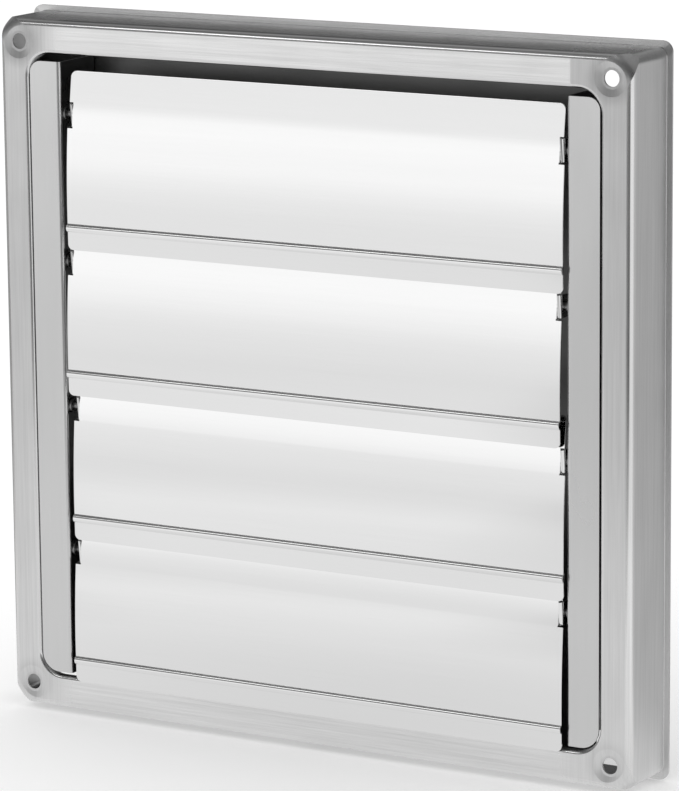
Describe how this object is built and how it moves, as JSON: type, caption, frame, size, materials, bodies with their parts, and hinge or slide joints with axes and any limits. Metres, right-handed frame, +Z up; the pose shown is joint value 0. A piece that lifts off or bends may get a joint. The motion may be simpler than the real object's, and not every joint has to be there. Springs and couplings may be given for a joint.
{
  "type": "wall vent cover",
  "caption": "Square wall vent cover in stainless sheet: a pressed frame with a row of hinged gravity flaps in front of a round duct collar.",
  "frame": {"origin": "centre of the four screw holes, on the dish floors where the screw heads seat", "axes": "+X to the right seen from outside, +Y into the wall, +Z up"},
  "size_m": [0.2032, 0.0524, 0.2032],
  "materials": {
    "brushed_frame": "brushed, with the grain along each band",
    "satin_strip": "satin, fine vertical grain",
    "bright_flap": "bright rolled, fine horizontal grain",
    "mill_sheet": "mill finish",
    "turned_pin": "turned",
    "rivet": "plain"
  },
  "bodies": {
    "housing": {"frame": "brushed_frame", "back_plate": "mill_sheet", "duct_collar": "mill_sheet", "collar_rivets": "rivet", "left_channel": "satin_strip", "right_channel": "satin_strip", "left_channel_rivets": "rivet", "right_channel_rivets": "rivet", "pin_1_left": "turned_pin", "pin_1_right": "turned_pin", "pin_2_left": "turned_pin", "pin_2_right": "turned_pin", "pin_3_left": "turned_pin", "pin_3_right": "turned_pin", "pin_4_left": "turned_pin", "pin_4_right": "turned_pin"},
    "flap_1_body": {"flap_1": "bright_flap"},
    "flap_2_body": {"flap_2": "bright_flap"},
    "flap_3_body": {"flap_3": "bright_flap"},
    "flap_4_body": {"flap_4": "bright_flap"}
  },
  "joints": [
    {"name": "flap_1_hinge", "type": "hinge", "parent": "housing", "child": "flap_1_body", "pos_m": [0, 0.0035, 0.0734], "axis": [-1, 0, 0], "range_deg": [0, 70]},
    {"name": "flap_2_hinge", "type": "hinge", "parent": "housing", "child": "flap_2_body", "pos_m": [0, 0.0035, 0.0313], "axis": [-1, 0, 0], "range_deg": [0, 70]},
    {"name": "flap_3_hinge", "type": "hinge", "parent": "housing", "child": "flap_3_body", "pos_m": [0, 0.0035, -0.0108], "axis": [-1, 0, 0], "range_deg": [0, 70]},
    {"name": "flap_4_hinge", "type": "hinge", "parent": "housing", "child": "flap_4_body", "pos_m": [0, 0.0035, -0.0529], "axis": [-1, 0, 0], "range_deg": [0, 70]}
  ]
}
